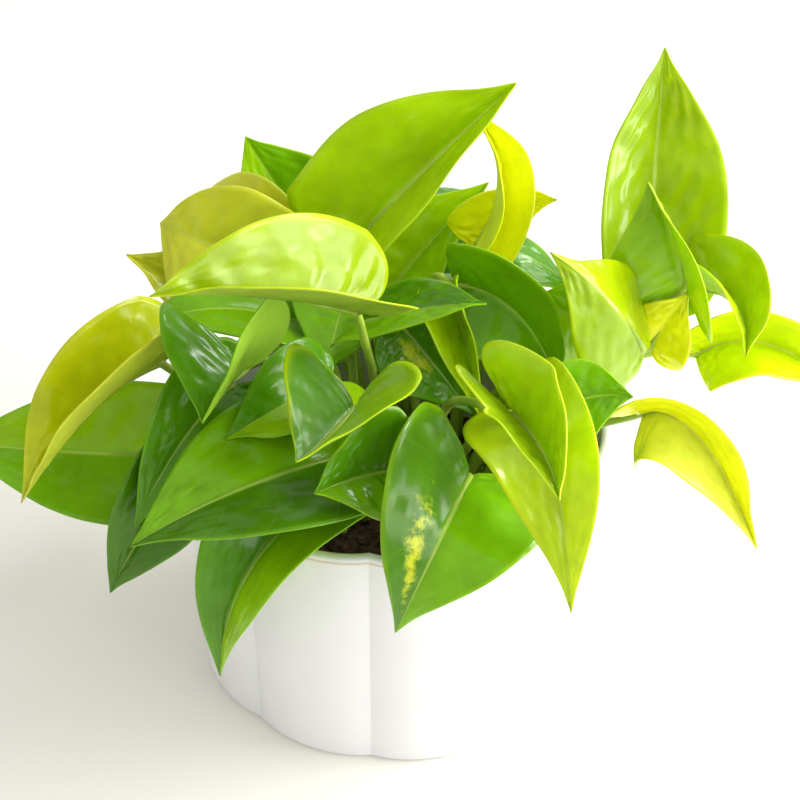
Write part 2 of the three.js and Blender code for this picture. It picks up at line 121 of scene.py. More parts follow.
def area_light(name, place, side, power, colour):
    deselect_all()
    aim = (LIT_POINT - Vector(place)).to_track_quat("-Z", "Y").to_euler()
    bpy.ops.object.light_add(type="AREA", location=place, rotation=aim)
    light = bpy.context.object
    light.name = name
    light.data.size = side
    light.data.energy = power
    light.data.color = colour
    print("light:", name, power, "W")


area_light("window", (0.95, 0.05, 0.6), 0.75, 12.5, (1.0, 0.99, 0.975))
area_light("second_window", (0.62, 0.62, 0.78), 0.26, 3.5, (0.96, 0.98, 1.0))
area_light("sill_gleam", (0.95, -0.05, 0.11), 0.2, 1.6, (1.0, 0.99, 0.98))
area_light("front_fill", (0.85, -0.6, 0.45), 0.6, 3.8, (1.0, 0.99, 0.97))

world = bpy.data.worlds.new("room")
bpy.context.scene.world = world
world.use_nodes = True
room = world.node_tree.nodes["Background"]
room.inputs["Color"].default_value = ROOM_COLOUR
room.inputs["Strength"].default_value = ROOM_STRENGTH
bpy.context.scene.view_settings.view_transform = "Standard"

# %% [markdown]
# ## Materials made of nodes
# The finishes of the plant and its pot come from shader nodes that read a piece's own
# coordinates, or values kept on its mesh, so a piece keeps its finish wherever it goes. Nodes
# can be wired by hand in the shader editor. Here a small class wires them, because the same few
# moves come back in every material.

# %% A material and short ways to wire it
class Paint:
    def __init__(self, name, values):
        self.material = bpy.data.materials.new(name)
        self.material.use_nodes = True
        self.tree = self.material.node_tree
        self.surface = self.tree.nodes["Principled BSDF"]
        for key, value in values.items():
            self.surface.inputs[key].default_value = value
        self.place = self.add("ShaderNodeTexCoord")
        print("material:", name)

    def add(self, kind, **values):
        """A new node. A value goes to its input of that name, or else to its setting."""
        node = self.tree.nodes.new(kind)
        for key, value in values.items():
            if key in node.inputs:
                node.inputs[key].default_value = value
            else:
                setattr(node, key, value)
        return node

    def feed(self, source, target):
        """Join an output to an input, or give the input a plain value."""
        if isinstance(source, bpy.types.NodeSocket):
            self.tree.links.new(source, target)
        else:
            target.default_value = source

    def noise(self, scale, detail, roughness=0.5):
        node = self.add("ShaderNodeTexNoise", Scale=scale, Detail=detail, Roughness=roughness)
        self.feed(self.place.outputs["Object"], node.inputs["Vector"])
        return node.outputs["Fac"]

    def maths(self, operation, first, second=0.0):
        node = self.add("ShaderNodeMath", operation=operation)
        self.feed(first, node.inputs[0])
        self.feed(second, node.inputs[1])
        return node.outputs["Value"]

    def fade(self, value, begin, end, low=0.0, high=1.0):
        """Low where the value is at begin, high where it is at end."""
        node = self.add("ShaderNodeMapRange")
        ends = {"Value": value, "From Min": begin, "From Max": end, "To Min": low, "To Max": high}
        for key, amount in ends.items():
            self.feed(amount, node.inputs[key])
        return node.outputs["Result"]

    def mix(self, share, first, second):
        """Two colours mixed: sockets 6 and 7 take them, and 2 gives the result."""
        node = self.add("ShaderNodeMix", data_type="RGBA")
        self.feed(share, node.inputs["Factor"])
        self.feed(first, node.inputs[6])
        self.feed(second, node.inputs[7])
        return node.outputs[2]

    def two_colours(self, value, first, second, stops=(0, 1)):
        node = self.add("ShaderNodeValToRGB")
        for end, colour, at in zip(node.color_ramp.elements, (first, second), stops):
            end.position = at
            end.color = linear(*colour)
        self.feed(value, node.inputs["Fac"])
        return node.outputs["Color"]

    def colour(self, source):
        self.feed(source, self.surface.inputs["Base Color"])

    def bump(self, value, strength, distance):
        node = self.add("ShaderNodeBump", Strength=strength, Distance=distance)
        self.feed(value, node.inputs["Height"])
        self.feed(node.outputs["Normal"], self.surface.inputs["Normal"])


# %% Floor
deselect_all()
bpy.ops.mesh.primitive_plane_add(size=6, location=(0, 0, 0))
floor = bpy.context.object
floor.name = "floor"
table = Paint("pale_table", {"Base Color": linear(251, 248, 240), "Roughness": 0.6})
floor.data.materials.append(table.material)

# %% [markdown]
# ## The pot
# The real pot is slip-cast earthenware under white glaze: ten shallow lobes meet in creases that
# run from foot to rim. It could be lofted or sculpted. Here a ring is extruded up the outside,
# over the rim and down the inside, as on a wheel, and then the wall is drawn in at each crease
# by a formula, because no edit tool draws ten even creases as exactly.

# %% Sizes of the pot
POT_RIM = 75 * MM
POT_FOOT = 73.4 * MM
POT_HEIGHT = 95.5 * MM
POT_WALL = 3.4 * MM
POT_FLOOR = 4 * MM
LOBES = 10
FIRST_CREASE = math.radians(-42.75)
CREASE_DEPTH = 2.8 * MM
CREASE_REACH = math.radians(18)
CREASE_SHARPNESS = 2.4
CREASED_BEYOND = 30 * MM


def crease(angle):
    """How far the wall is drawn in at this angle from the front, toward +X."""
    pitch = 2 * math.pi / LOBES
    off = abs((angle - FIRST_CREASE + pitch / 2) % pitch - pitch / 2) / CREASE_REACH
    return CREASE_DEPTH * max(0.0, 1 - off) ** CREASE_SHARPNESS


def pull_in_creases(mesh, amount):
    for vertex in mesh.vertices:
        x, y, z = vertex.co
        reach = math.hypot(x, y)
        if reach > CREASED_BEYOND:
            scale = 1 - crease(math.atan2(x, -y)) * amount(z) / reach
            vertex.co = (x * scale, y * scale, z)


print("creases:", LOBES, "of", CREASE_DEPTH, "m")

# %% Extrude the pot's wall ring by ring
POT_SIDES = 480
RIM_RISE = 1.3 * MM
RIM_STEPS = 10
SMOOTH_UP_TO = math.radians(20)


def rim_arc(steps):
    """The rounded rim, from its outer to its inner edge: radius and height."""
    middle, half = POT_RIM - POT_WALL / 2, POT_WALL / 2
    for i in range(steps + 1):
        turn = math.pi * i / steps
        yield middle + half * math.cos(turn), POT_HEIGHT - RIM_RISE + RIM_RISE * math.sin(turn)


def wall_rows():
    foot = [(POT_FOOT - 1.4 * MM, 0.25 * MM), (POT_FOOT - 0.5 * MM, 1.0 * MM),
            (POT_FOOT, 2.4 * MM), (POT_FOOT + 0.1 * MM, 4 * MM)]
    outside = [(POT_FOOT + (POT_RIM - POT_FOOT) * t, POT_HEIGHT * t) for t in (0.2, 0.5, 0.8, 0.96)]
    inside = [(POT_FOOT + (POT_RIM - POT_FOOT) * t - POT_WALL, POT_HEIGHT * t)
              for t in (0.9, 0.7, 0.45, 0.2)]
    bottom = [(POT_FOOT - POT_WALL - 1 * MM, POT_FLOOR + 1.5 * MM),
              (POT_FOOT - POT_WALL - 4 * MM, POT_FLOOR)]
    return foot + outside + list(rim_arc(RIM_STEPS)) + inside + bottom


deselect_all()
ring_radius = POT_FOOT - 3 * MM
bpy.ops.mesh.primitive_circle_add(vertices=POT_SIDES, radius=ring_radius, fill_type="NGON")
pot = bpy.context.object
bpy.ops.object.mode_set(mode="EDIT")
bpy.ops.mesh.select_all(action="SELECT")
height = 0.0
for radius, level in wall_rows():
    bpy.ops.mesh.extrude_region_move(
        TRANSFORM_OT_translate={"value": (0, 0, level - height)})
    bpy.ops.transform.resize(value=(radius / ring_radius, radius / ring_radius, 1),
                             center_override=(0, 0, level))
    ring_radius, height = radius, level
bpy.ops.mesh.select_all(action="SELECT")
bpy.ops.mesh.normals_make_consistent(inside=False)
bpy.ops.object.mode_set(mode="OBJECT")
pull_in_creases(pot.data, lambda z: min(1.0, 0.6 + z / (6 * MM)))
bpy.ops.object.shade_smooth_by_angle(angle=SMOOTH_UP_TO)
pot.name = "glazed_pot"
print("pot faces:", len(pot.data.polygons))

# %% [markdown]
# The glaze is white, smooth and a little uneven, so reflections waver. Just under the rim a fine
# brownish line is painted shade: the shade that falls under the rim's lip.

# %% Glaze
# painted shade: a fine brownish line just under the rim's lip, at this height and half-width
RIM_SHADE_LINE = POT_HEIGHT - 2.4 * MM
RIM_SHADE_LINE_REACH = 0.8 * MM
RAMP_METRES = 0.1  # a colour ramp runs from 0 to 1, which here stands for this much height

glaze = Paint("white_glaze", {"Roughness": 0.16, "IOR": 1.5,
                              "Coat Weight": 0.35, "Coat Roughness": 0.06})
waver = glaze.noise(38.0, 2.0)
glaze.bump(waver, 0.12, 0.6 * MM)
white = glaze.two_colours(waver, (228, 229, 233), (240, 240, 243))
# the brownish line of painted shade under the rim's lip, placed by height
line = glaze.add("ShaderNodeValToRGB")
line.color_ramp.interpolation = "EASE"
for off, value in ((-RIM_SHADE_LINE_REACH, 0), (0, 1), (RIM_SHADE_LINE_REACH, 0)):
    stop = line.color_ramp.elements.new((RIM_SHADE_LINE + off) / RAMP_METRES)
    stop.color = (value, value, value, 1)
line.color_ramp.elements[0].color = (0, 0, 0, 1)
line.color_ramp.elements[-1].color = (0, 0, 0, 1)
split = glaze.add("ShaderNodeSeparateXYZ")
glaze.feed(glaze.place.outputs["Object"], split.inputs["Vector"])
glaze.feed(glaze.maths("MULTIPLY", split.outputs["Z"], 1 / RAMP_METRES), line.inputs["Fac"])
glaze.colour(glaze.mix(line.outputs["Color"], white, linear(205, 188, 168)))
pot.data.materials.append(glaze.material)
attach(pot, "root")
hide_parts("pot")

# %% [markdown]
# ## The potting mix
# It fills the pot to about half its height and is made of dark crumbs, bark and fibres. A disc
# with many faces is pushed up and down by noise for the bed, and loose crumbs lie on it.

# %% Bed of potting mix
SOIL_TOP = 48 * MM
BED_RADIUS = 70.4 * MM
BED_SIDES = 160
BED_RING = 1.9 * MM
BED_START = SOIL_TOP - 3 * MM
BED_UNDERSIDE = 5 * MM
deselect_all()
bpy.ops.mesh.primitive_circle_add(vertices=BED_SIDES, radius=BED_RADIUS,
                                  location=(0, 0, BED_START), fill_type="NOTHING")
bed = bpy.context.object
bpy.ops.object.transform_apply(location=True)
bpy.ops.object.mode_set(mode="EDIT")
bpy.ops.mesh.select_all(action="SELECT")
reach = BED_RADIUS
while reach > 2.5 * MM:
    step = reach - BED_RING
    bpy.ops.mesh.extrude_edges_move(TRANSFORM_OT_translate={"value": (0, 0, 0)})
    bpy.ops.transform.resize(value=(step / reach, step / reach, 1),
                             center_override=(0, 0, BED_START))
    reach = step
bpy.ops.mesh.merge(type="CENTER")
bpy.ops.mesh.select_all(action="DESELECT")
bpy.ops.mesh.select_non_manifold()
bpy.ops.mesh.extrude_edges_move(TRANSFORM_OT_translate={"value": (0, 0, BED_UNDERSIDE - BED_START)})
bpy.ops.mesh.edge_face_add()
bpy.ops.mesh.select_all(action="SELECT")
bpy.ops.mesh.normals_make_consistent(inside=False)
bpy.ops.object.mode_set(mode="OBJECT")


def bed_height(x, y):
    """The level of the mix at a place: crumbly, and a little lower along the wall."""
    reach = math.hypot(x, y) / BED_RADIUS
    level = SOIL_TOP - 3 * MM * max(0.0, (reach - 0.75) / 0.25)
    spot = Vector((x, y, 0))
    level += 1.5 * MM * noise.noise(spot * 60) + 1.0 * MM * noise.noise(spot * 180)
    return level + 0.8 * MM * noise.noise(spot * 420)


for vertex in bed.data.vertices:
    if vertex.co.z > SOIL_TOP - 6 * MM:
        vertex.co.z = bed_height(vertex.co.x, vertex.co.y)
pull_in_creases(bed.data, lambda z: 1.0)
bed.name = "potting_mix_bed"
bpy.ops.object.shade_smooth()
print("bed faces:", len(bed.data.polygons))

# %% Loose crumbs of bark and soil
CRUMBS = 900
CRUMB_RADIUS = (0.5, 1.5)
BIG_CRUMBS = 0.1
BIG_CRUMB_SCALE = 1.8
CRUMB_SHAPE = np.array([1.0, 0.75, 0.55])
deselect_all()
bpy.ops.mesh.primitive_ico_sphere_add(subdivisions=1, radius=1)
crumb = bpy.context.object
for vertex in crumb.data.vertices:
    vertex.co *= 1 + 0.35 * noise.noise(vertex.co * 1.7)
crumb_points = np.array([v.co for v in crumb.data.vertices])
crumb_faces = [list(f.vertices) for f in crumb.data.polygons]
points, faces = [], []
for _ in range(CRUMBS):
    reach = (BED_RADIUS - 3 * MM) * math.sqrt(rng.random())
    turn = rng.uniform(0, 2 * math.pi)
    x, y = reach * math.cos(turn), reach * math.sin(turn)
    size = rng.uniform(*CRUMB_RADIUS) * MM
    size *= BIG_CRUMB_SCALE if rng.random() < BIG_CRUMBS else 1
    axes = np.linalg.qr(np.array([[rng.gauss(0, 1) for _ in range(3)] for _ in range(3)]))[0]
    shape = crumb_points * CRUMB_SHAPE * size
    centre = np.array([x, y, bed_height(x, y) + 0.2 * size])
    faces += [[v + len(points) for v in face] for face in crumb_faces]
    points += (shape @ axes.T + centre).tolist()
crumb.data.clear_geometry()
crumb.data.from_pydata(points, [], faces)
only(crumb)
bpy.ops.object.mode_set(mode="EDIT")
bpy.ops.mesh.select_all(action="SELECT")
bpy.ops.mesh.normals_make_consistent(inside=False)
bpy.ops.object.mode_set(mode="OBJECT")
crumb.name = "potting_mix_crumbs"
print("crumbs:", CRUMBS)

# %% Colours of the mix
mix = Paint("potting_mix", {"Roughness": 0.95})
grain = mix.noise(420.0, 5.0)
mix.colour(mix.two_colours(grain, (20, 15, 10), (96, 66, 38), (0.38, 0.72)))
mix.bump(grain, 0.6, 0.8 * MM)
for piece in (bed, crumb):
    piece.data.materials.append(mix.material)
    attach(piece, "root")
    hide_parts("soil")

# %% [markdown]
# ## The leaves
# Each leaf is a heart-shaped blade on a smooth stalk, and no two hang alike. One could sculpt
# each by hand. Here a flat grid is bent by the same few measures for every leaf: three points of
# the midrib, the width, the way it faces, and how far its halves fold and curl. Veins, the
# midrib's groove and a wavy margin are then raised on it, and Solidify gives it its thickness.
# All measures are millimetres and degrees, as in the solids.

# %% Outline and veins of a blade one long and half as wide as one
MARGIN_ALONG = [-0.07, -0.155, -0.175, -0.13, -0.03, 0.11, 0.28, 0.46, 0.63, 0.78, 0.90, 1]
MARGIN_OUT = [0.07, 0.26, 0.50, 0.75, 0.93, 1.0, 0.95, 0.78, 0.54, 0.30, 0.12, 0]
VEIN_START = [0, 0.01, 0.03, 0.07, 0.13, 0.21, 0.32, 0.45, 0.60, 0.75, 0.88, 1]
FLARE_REACH = 0.4  # the share of the outline over which a lobe's flare fades out


def smooth_curve(values, at):
    """A smooth line through evenly spaced values, read at places from 0 to 1."""
    values = np.array([2 * values[0] - values[1], *values, 2 * values[-1] - values[-2]], float)
    x = np.clip(at, 0, 1) * (len(values) - 3)
    i = np.minimum(np.floor(x).astype(int), len(values) - 4)
    f = x - i
    a, b, c, d = values[i], values[i + 1], values[i + 2], values[i + 3]
    return 0.5 * (2 * b + (c - a) * f + (2 * a - 5 * b + 4 * c - d) * f ** 2
                  + (3 * b - a - 3 * c + d) * f ** 3)


def unit(vectors):
    return vectors / np.linalg.norm(vectors, axis=-1, keepdims=True)


def face_direction(turn, lift):
    turn, lift = math.radians(turn), math.radians(lift)
    return np.array([math.sin(turn) * math.cos(lift), -math.cos(turn) * math.cos(lift),
                     math.sin(lift)])


def midrib(leaf, along):
    """Place, face and right side of the blade's midrib at places from the stalk to the tip."""
    base, middle, tip = (np.array(leaf[k], float) for k in ("base", "mid", "tip"))
    pull = 2 * middle - (base + tip) / 2
    length = np.linalg.norm(middle - base) + np.linalg.norm(tip - middle)
    t = np.maximum(along, 0)[:, None]
    place = (1 - t) ** 2 * base + 2 * t * (1 - t) * pull + t ** 2 * tip
    forward = unit(2 * (1 - t) * (pull - base) + 2 * t * (tip - pull))
    place = place + forward * np.minimum(along, 0)[:, None] * length
    up = face_direction(*leaf["face"])
    face = unit(up - forward * (forward @ up)[:, None])
    return place, face, np.cross(forward, face)


def blade_points(leaf, side, station):
    """Points of the blade: side runs from -1, left margin, to 1; station from notch to tip."""
    belly = leaf.get("belly", 1)
    out = np.abs(side)
    margin = smooth_curve(MARGIN_ALONG, station)
    lobe = np.where(side < 0, *leaf.get("lobe", (1, 1)))
    margin = np.where(margin > 0, np.abs(margin) ** belly, margin * lobe)
    start = np.maximum(smooth_curve(VEIN_START, station), 0) ** belly
    along = start + (margin - start) * out
    half = leaf["width"] / 2
    distance = np.maximum(smooth_curve(MARGIN_OUT, station), 0) * out * half
    flare = np.where(side < 0, *leaf.get("flare", (0, 0)))
    flare = flare * np.maximum(0, 1 - station / FLARE_REACH)
    fold = np.radians(leaf["fold"] + flare)
    bend = np.radians(np.where(side < 0, *leaf["curl"])) / half
    bend = np.where(np.abs(bend) < 1e-6, 1e-6, bend)
    across = (np.sin(fold + bend * distance) - np.sin(fold)) / bend
    raised = (np.cos(fold) - np.cos(fold + bend * distance)) / bend
    place, face, right = midrib(leaf, along)
    sign = np.where(side < 0, -1, 1)[:, None]
    points = place + right * sign * across[:, None] + face * raised[:, None]
    return points, distance


print("outline measures to a side:", len(MARGIN_OUT))

# %% [markdown]
# A real blade is quilted: it puffs up between its side veins, which leave the midrib and sweep
# toward the tip. One could sculpt that or use a bump map. It is raised in the mesh here, because
# the outline then wavers too.

# %% Relief of a blade, in millimetres
VEINS = 7.5
VEIN_SWEEP = 0.16
QUILT = 0.4  # how far a blade puffs up between side veins, where its row says nothing else
PUCKER = 0.11  # uneven puckers on top of that, at the same quilt
PUCKER_WAVES = 7
GROOVE_DEPTH = 0.6
GROOVE_HALF_WIDTH = 1.3
MARGIN_WAVE = 0.9


def vein_place(side, station):
    """Same value along one side vein: it leaves the midrib and sweeps toward the tip."""
    out = np.abs(side)
    return station - VEIN_SWEEP * out ** 1.6 * (1 - 0.5 * np.clip(station, 0, 1))


def relief(leaf, side, station, distance, chance):
    out = np.abs(side)
    inner = np.clip(out * 4, 0, 1) * np.clip((1 - out) * 3, 0, 1) * np.clip((1 - station) * 5, 0, 1)
    field = np.abs(np.sin(math.pi * VEINS * vein_place(side, station))) ** 0.7
    quilt = leaf.get("quilt", QUILT)
    puffed = quilt * (field - 0.6) * inner
    pucker = np.zeros_like(station)
    for _ in range(PUCKER_WAVES):
        turns, across = chance.uniform(2, 11), chance.uniform(-5, 5)
        pucker += np.sin(2 * math.pi * (turns * station + across * side) + chance.uniform(0, 6.3))
    pucker *= PUCKER * quilt / QUILT * inner
    groove = -GROOVE_DEPTH * np.exp(-(distance / GROOVE_HALF_WIDTH) ** 2)
    groove = groove * np.clip((1 - station) * 3, 0, 1)
    phase = np.where(side < 0, chance.uniform(0, 6.3), chance.uniform(0, 6.3))
    along = np.clip(station * 5, 0, 1) * np.clip((1 - station) * 5, 0, 1)
    wave = MARGIN_WAVE * out ** 3 * along * (
        np.sin(2 * math.pi * chance.uniform(1.3, 2.4) * station + phase)
        + 0.4 * np.sin(2 * math.pi * chance.uniform(3.5, 5.5) * station + 2 * phase))
    return puffed + pucker + groove + wave


print("side veins to a half:", VEINS)

# %% Make one blade from a flat grid
CELLS = 12
STATIONS = 60
WELD = 0.02 * MM


def make_blade(leaf, chance):
    deselect_all()
    bpy.ops.mesh.primitive_grid_add(x_subdivisions=2 * CELLS, y_subdivisions=STATIONS, size=2)
    blade = bpy.context.object
    count = len(blade.data.vertices)
    flat = np.zeros(count * 3)
    blade.data.vertices.foreach_get("co", flat)
    side, station = flat[0::3], (flat[1::3] + 1) / 2
    points, distance = blade_points(leaf, side, station)
    blade.data.vertices.foreach_set("co", points.ravel())
    blade.data.update()
    normals = np.zeros(count * 3)
    blade.data.vertex_normals.foreach_get("vector", normals)
    normals = normals.reshape(-1, 3)
    points = points + normals * relief(leaf, side, station, distance, chance)[:, None]
    blade.data.vertices.foreach_set("co", (points * MM).ravel())
    paint_blade(blade, leaf, side, station)
    corners = np.zeros(len(blade.data.loops), dtype=int)
    blade.data.loops.foreach_get("vertex_index", corners)
    places = np.stack([(side + 1) / 2, vein_place(side, station)], axis=1)[corners]
    blade.data.uv_layers[0].data.foreach_set("uv", places.ravel())
    only(blade)
    bpy.ops.object.mode_set(mode="EDIT")
    bpy.ops.mesh.select_all(action="SELECT")
    bpy.ops.mesh.remove_doubles(threshold=WELD)
    bpy.ops.object.mode_set(mode="OBJECT")
    return blade


print("grid of a blade:", 2 * CELLS, "by", STATIONS)

# %% [markdown]
# Every leaf has its own greens: the left half, the right half and a margin of another colour.
# Where a leaf's two halves differ, that is mostly painted light and shade: a lit half is lighter
# and a shaded half darker. All these greens are painted on the vertices, and the shader adds the
# mottling, so that one waxy material serves all the leaves.

# %% Paint a blade's halves, with their painted light and shade, and its margin
HALVES_BLEND = 0.04
MARGIN_TINT_FROM = 0.9
MARGIN_TINT = 0.6


# painted light and shade: each half's green is the leaf's own green, made lighter where it is lit
# and darker where it is shaded
def paint_blade(blade, leaf, side, station):
    left, right, margin = (np.array(linear(*GREENS[leaf[k]])) for k in ("left", "right", "margin"))
    half = np.clip((side + HALVES_BLEND) / (2 * HALVES_BLEND), 0, 1)[:, None]
    colour = left * (1 - half) + right * half
    edge = np.clip((np.abs(side) - MARGIN_TINT_FROM) / (1 - MARGIN_TINT_FROM), 0, 1)[:, None]
    edge = edge * MARGIN_TINT
    colour = colour * (1 - edge) + margin * edge
    green_and_shade = blade.data.color_attributes.new("green_and_shade", "FLOAT_COLOR", "POINT")
    green_and_shade.data.foreach_set("color", colour.ravel())
    splash = blade.data.attributes.new("splash", "FLOAT", "POINT")
    amount = np.zeros(len(side))
    if "splash" in leaf:
        at_side, at_station, reach = leaf["splash"]
        amount = np.exp(-(((side - at_side) / reach) ** 2 + ((station - at_station) / reach) ** 2))
    splash.data.foreach_set("value", amount)


print("margin begins at", MARGIN_TINT_FROM, "of the way out")

# %% [markdown]
# A pothos leaf grows on a smooth round stalk that runs on under the blade as its midrib. A curve
# with a bevel makes that: its points carry the radius, so it thins out under the blade. It turns
# into a mesh and is joined to the blade, because the two are one living piece.

# %% Stalk
STALK_RADIUS = 1.6 * MM
STALK_SUNK = 7  # into the mix, in millimetres as the rows are
STALK_STEPS = 18
STALK_RISE = 0.45  # how far it rises before it leans over, as a share of its reach
STALK_LEAN = 0.3
STALK_ARCH = 0.1
UNDER_AT = np.array([0.0, 0.03, 0.08, 0.16, 0.28])  # shares of the blade's length
UNDER_DEPTH = np.array([0.5, 0.55, 0.6, 0.6, 0.5])  # millimetres below the midrib
UNDER_BLADE = 0.8  # the share of the stalk's points where it starts to thin out


def stalk_route(leaf):
    """Straight up out of the mix, over to the blade and a little way under its midrib."""
    foot = np.array([*leaf["foot"], SOIL_TOP / MM], float)
    base = np.array(leaf["base"], float)
    reach = np.linalg.norm(base - foot)
    bend = np.array(leaf.get("bend", (0, 0, STALK_ARCH * reach)), float)
    first = foot + np.array([0, 0, STALK_RISE * reach])
    second = base + (foot - base) * STALK_LEAN + bend
    t = np.linspace(0, 1, STALK_STEPS + 1)[:-1, None]
    curve = ((1 - t) ** 3 * foot + 3 * t * (1 - t) ** 2 * first
             + 3 * t ** 2 * (1 - t) * second + t ** 3 * base)
    place, face, _ = midrib(leaf, UNDER_AT)
    under = place - face * UNDER_DEPTH[:, None]
    return np.vstack([foot - [0, 0, STALK_SUNK], curve, under])


def make_stalk(leaf):
    route = stalk_route(leaf)
    path = bpy.data.curves.new("stalk", "CURVE")
    path.dimensions = "3D"
    path.bevel_depth = STALK_RADIUS
    path.bevel_resolution = 3
    path.use_fill_caps = True
    line = path.splines.new("POLY")
    line.points.add(len(route) - 1)
    for i, (point, place) in enumerate(zip(line.points, route)):
        point.co = (*(place * MM), 1)
        share = i / (len(route) - 1)
        point.radius = 1.08 - 0.2 * share
        if share >= UNDER_BLADE:
            run_out = (share - UNDER_BLADE) / (1 - UNDER_BLADE)
            point.radius = 0.92 * (1 - run_out) ** 0.7 + 0.12
    stalk = bpy.data.objects.new("stalk", path)
    bpy.context.scene.collection.objects.link(stalk)
    only(stalk)
    bpy.ops.object.convert(target="MESH")
    bpy.ops.object.shade_smooth()
    return bpy.context.object


print("stalk radius:", STALK_RADIUS, "m")

# %% Thickness and joining
BLADE_THICKNESS = 0.5 * MM


def make_leaf(leaf):
    chance = random.Random(leaf["name"])
    blade = make_blade(leaf, chance)
    thickness = blade.modifiers.new("thickness", "SOLIDIFY")
    thickness.thickness = BLADE_THICKNESS
    thickness.offset = 0
    thickness.material_offset = 1
    thickness.material_offset_rim = 0
    blade.data.materials.append(waxy_top)
    blade.data.materials.append(leaf_underside)
    blade.data.materials.append(stalk_skin)
    only(blade)
    bpy.ops.object.modifier_apply(modifier="thickness")
    bpy.ops.object.shade_smooth()
    stalk = make_stalk(leaf)
    stalk.data.materials.append(stalk_skin)
    only(blade)
    stalk.select_set(True)
    bpy.ops.object.join()
    blade.name = leaf["name"].replace("leaf_", "living_leaf_")
    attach(blade, "root")
    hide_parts(leaf["name"])


print("blade thickness:", BLADE_THICKNESS, "m")

# %% [markdown]
# The upper side of a blade is waxy: a clear gloss over a green that is mottled and, along the
# veins, a little paler. The veins follow the blade, so this material reads the blade's own UV
# map: across it from margin to margin, and from one side vein to the next. A second value on the
# mesh says where a leaf of this kind shows cream flecks.

# %% Veins and flecks, as shares of another colour
SIDE_VEIN_FADE = (0.035, 0.0)
SIDE_VEIN_SHOWS = 0.1
MIDRIB_FADE = (0.017, 0.005)
VEIN_SHARE = 0.45
FLECK_FADE = (0.70, 0.86)
FLECK_PUSH = 0.34


def vein_share(leaf):
    """A thin line at every step along the blade, and a stronger one down its middle."""
    split = leaf.add("ShaderNodeSeparateXYZ")
    leaf.feed(leaf.place.outputs["UV"], split.inputs["Vector"])
    saw = leaf.maths("PINGPONG", leaf.maths("MULTIPLY", split.outputs["Y"], VEINS), 0.5)
    side_vein = leaf.maths("MULTIPLY", leaf.fade(saw, *SIDE_VEIN_FADE), SIDE_VEIN_SHOWS)
    off = leaf.maths("ABSOLUTE", leaf.maths("SUBTRACT", split.outputs["X"], 0.5))
    lines = leaf.maths("MAXIMUM", side_vein, leaf.fade(off, *MIDRIB_FADE))
    return leaf.maths("MULTIPLY", lines, VEIN_SHARE)


def fleck_share(leaf):
    """Fine noise, shown only where the splash value on the mesh lets it through."""
    splash = leaf.add("ShaderNodeAttribute", attribute_name="splash").outputs["Fac"]
    pushed = leaf.maths("ADD", leaf.noise(260.0, 5.0, 0.7),
                        leaf.maths("MULTIPLY", splash, FLECK_PUSH))
    return leaf.maths("MULTIPLY", leaf.fade(pushed, *FLECK_FADE), splash)


print("vein share:", VEIN_SHARE)

# %% Waxy upper side and dull underside
VEIN_COLOUR = linear(214, 226, 120)
FLECK_COLOUR = linear(206, 212, 48)
UNDERSIDE_COLOUR = linear(176, 200, 120)
MOTTLE = (0.3, 0.7, 0.84, 1.12)


def leaf_shader(name, roughness, paleness, gloss):
    leaf = Paint(name, {
        "Roughness": roughness, "IOR": 1.45, "Specular IOR Level": 0.25,
        "Specular Tint": (0.8, 1.0, 0.25, 1.0), "Subsurface Weight": 0.35,
        "Subsurface Radius": (0.8, 1.0, 0.1), "Subsurface Scale": 1.2 * MM,
        "Coat Weight": gloss, "Coat Roughness": 0.17})
    # the vertex greens: each leaf's own colour with painted light and shade in it
    green_and_shade = leaf.add("ShaderNodeAttribute", attribute_name="green_and_shade")
    mottled = leaf.add("ShaderNodeVectorMath", operation="SCALE")
    leaf.feed(green_and_shade.outputs["Color"], mottled.inputs[0])
    leaf.feed(leaf.fade(leaf.noise(70.0, 4.0, 0.6), *MOTTLE), mottled.inputs["Scale"])
    colour = leaf.mix(vein_share(leaf), mottled.outputs["Vector"], VEIN_COLOUR)
    colour = leaf.mix(fleck_share(leaf), colour, FLECK_COLOUR)
    leaf.colour(leaf.mix(paleness, colour, UNDERSIDE_COLOUR))
    leaf.bump(leaf.noise(900.0, 2.0), 0.15, 0.3 * MM)
    return leaf.material


waxy_top = leaf_shader("waxy_leaf", 0.4, 0.0, 0.55)
leaf_underside = leaf_shader("leaf_underside", 0.5, 0.25, 0.0)

# %% [markdown]
# A stalk is about as smooth as a blade, and its green varies softly. That could be painted, but
# soft noise run through two greens gives it without any picture.

# %% Stalk skin
skin = Paint("stalk_skin", {"Roughness": 0.38})
skin.colour(skin.two_colours(skin.noise(55.0, 3.0), (138, 172, 44), (190, 212, 92), (0.35, 0.7)))
stalk_skin = skin.material

# %% [markdown]
# Pothos leaves on one plant run from deep green to yellow. Each green has a name here, as a
# screen shows it, and a leaf's row says which names its halves and its margin take. The greens
# were matched to how each leaf looks in this light, so besides the leaf's own colour they hold
# painted light and shade: a lit half or leaf is lighter, a shaded one darker.

# %% The greens of this plant
GREENS = {
    "deep": (84, 146, 2), "dark": (70, 124, 2), "green": (118, 176, 2), "fresh": (150, 196, 2),
    "bright": (180, 216, 4), "lime": (204, 226, 6), "yellow": (236, 240, 12),
    "pale": (222, 228, 76), "olive": (208, 212, 50), "mustard": (196, 206, 6),
    "sunlit": (140, 172, 2), "warm": (172, 198, 3), "glow": (148, 174, 2),
}
print("greens:", len(GREENS))

# %% [markdown]
# These rows were fitted to the photograph, but for the last six: those leaves stand at the back,
# out of its sight, and are guessed. The shapes are those of the solids. foot is where a stalk
# leaves the mix, and base, mid and tip lie on the midrib. face is the way a blade
# looks: its turn from the front toward +X, and its lift. fold and curl say how its halves rise,
# belly, lobe and flare shape the outline and the lobes beside the stalk, and bend moves the
# stalk's last curve. left, right and margin name the greens. quilt is the relief between veins,
# and splash says where cream flecks show: side, station and reach.

